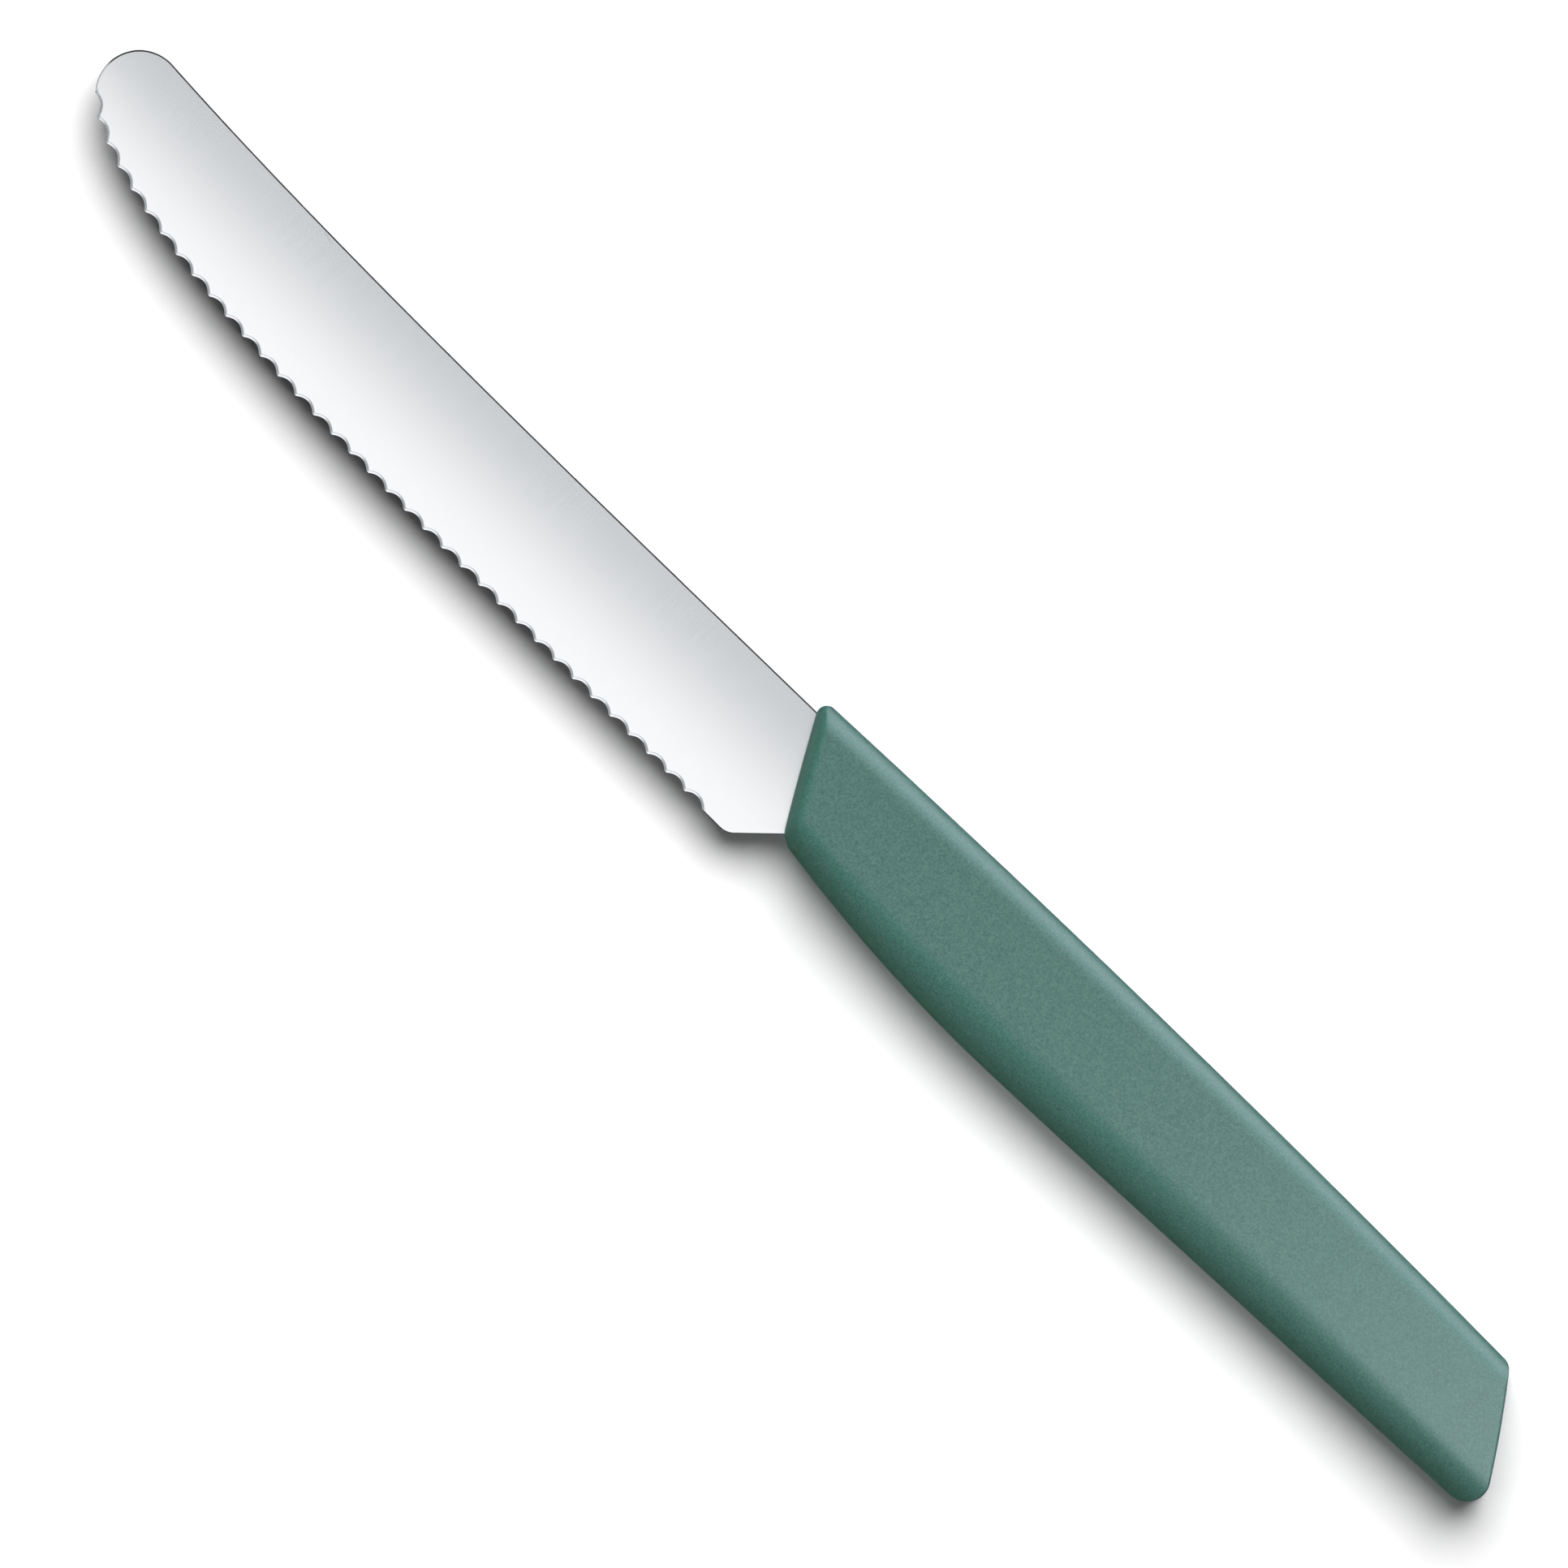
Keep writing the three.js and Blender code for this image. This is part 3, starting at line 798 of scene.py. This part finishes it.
def grip_polymer():
    finish = Finish("sage_polymer", IOR=GRIP_IOR)
    grain = finish.noise(GRIP_GRAIN, GRIP_GRAIN_DETAIL)
    finish.vary(grain, GRIP_COLORS, GRIP_ROUGHNESS)
    finish.bump(grain, GRIP_GRAIN_STRENGTH, GRIP_GRAIN_DEPTH)
    return finish.material


def core_polymer():
    finish = Finish("dark_polymer")
    finish.vary(finish.noise(CORE_GRAIN), CORE_COLORS, CORE_ROUGHNESS)
    return finish.material


def paint(piece, material):
    piece.data.materials.clear()
    piece.data.materials.append(material)


def dress(piece, material, node):
    """Gives a piece its finish, and puts it on the frame in place of its node."""
    paint(piece, material)
    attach(piece, "root")
    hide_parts(node)


# Stage

def make_floor():
    reach = FLOOR_REACH * MM
    below = -FLOOR_GAP * MM
    corners = [(x * reach, y * reach, below) for x, y in ((-1, -1), (1, -1), (1, 1), (-1, 1))]
    mesh = bpy.data.meshes.new("floor")
    mesh.from_pydata(corners, [], [(0, 1, 2, 3)])
    floor = add_object("floor", mesh)
    finish = Finish(
        "white_floor",
        Base_Color=FLOOR_COLOR,
        Roughness=FLOOR_ROUGHNESS,
        Specular_IOR_Level=FLOOR_SPECULAR,
    )
    paint(floor, finish.material)
    floor.visible_glossy = False
    return floor


def soft_light(name, azimuth, zenith, spread, radiance, color=WHITE, aim=(0, 0, 0),
               distance=LIGHT_DISTANCE, only=None, **rays):
    """A round lamp seen from the point that it aims at: its direction in the photograph, its angle from
    straight above and its angular radius, all in degrees."""
    turn = math.radians(azimuth) + VIEW_TURN
    tilt = math.radians(zenith)
    across = Vector((math.cos(turn), math.sin(turn), 0))
    away = across * math.sin(tilt) + Vector((0, 0, math.cos(tilt)))
    lamp = bpy.data.lights.new(name, "AREA")
    lamp.shape = "DISK"
    lamp.size = 2 * distance * MM * math.tan(math.radians(spread))
    area = math.pi * lamp.size ** 2 / 4
    lamp.energy = radiance * math.pi * area
    lamp.color = color
    holder = add_object(name, lamp)
    holder.location = Vector((ORIGIN + aim) * MM) + away * distance * MM
    holder.rotation_euler = (-away).to_track_quat("-Z", "Y").to_euler()
    holder.visible_camera = False
    for kind, seen in rays.items():
        setattr(holder, "visible_" + kind, seen)
    if only:
        holder.light_linking.receiver_collection = bpy.data.collections.new(name)
        holder.light_linking.receiver_collection.objects.link(only)


def make_lights(floor, blade, grip):
    soft_light("key", azimuth=76, zenith=31, spread=24.5, radiance=8.1, glossy=False)
    soft_light("dome", azimuth=0, zenith=0, spread=80, radiance=0.42, color=COOL, diffuse=False)
    soft_light("card", azimuth=45, zenith=37.6, spread=40, radiance=1.6, color=IVORY, diffuse=False)
    soft_light("rim", azimuth=45, zenith=78, spread=30, radiance=5.7, color=ROSE, only=grip, diffuse=False)
    soft_light("back", azimuth=45, zenith=85, spread=30, radiance=1.5, color=COOL, only=grip, glossy=False)
    soft_light("lip", azimuth=252, zenith=28, spread=16, radiance=1.2, only=blade, diffuse=False)
    soft_light("flank", azimuth=180, zenith=30, spread=18, radiance=0.12, only=blade, diffuse=False)
    soft_light("tip", azimuth=170, zenith=85, spread=35, radiance=0.7, only=blade, diffuse=False)
    soft_light("sheen", azimuth=0, zenith=0, spread=14, radiance=17, color=PINK, aim=BUTT_SHEEN,
               distance=130, only=grip, diffuse=False)
    soft_light("fill", azimuth=197, zenith=75, spread=30, radiance=2.1, color=WARM, only=grip, glossy=False)
    soft_light("floor_fill", azimuth=225, zenith=50, spread=25, radiance=1.55, aim=HANDLE_SHADOW,
               distance=70, only=floor, glossy=False)
    for name, azimuth in (("tip_side", 270), ("butt_side", 0)):
        soft_light(name, azimuth, zenith=66, spread=16, radiance=0.55, aim=BLADE_SHEEN,
                   distance=250, only=blade, diffuse=False)


def make_world():
    world = bpy.data.worlds.new("fill")
    world.use_nodes = True
    background = world.node_tree.nodes["Background"].inputs
    background["Color"].default_value = (*WHITE, 1)
    background["Strength"].default_value = WORLD_STRENGTH
    bpy.context.scene.world = world


def make_camera():
    lens = bpy.data.cameras.new("camera")
    lens.sensor_width = SENSOR_WIDTH
    lens.lens = SENSOR_WIDTH * CAMERA_HEIGHT / VIEW_WIDTH
    camera = add_object("camera", lens)
    camera.location = (ORIGIN + (VIEW_CENTRE_X, 0, CAMERA_HEIGHT)) * MM
    camera.rotation_euler = (0, 0, VIEW_TURN)
    bpy.context.scene.camera = camera
    bpy.context.scene.view_settings.view_transform = "Standard"


make_camera()
floor = make_floor()
blade = make_blade()
grip = make_grip()
make_lights(floor, blade, grip)
make_world()
dress(blade, steel(), "blade")
dress(grip, grip_polymer(), "handle_grip")
paint(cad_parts["handle_core"], core_polymer())
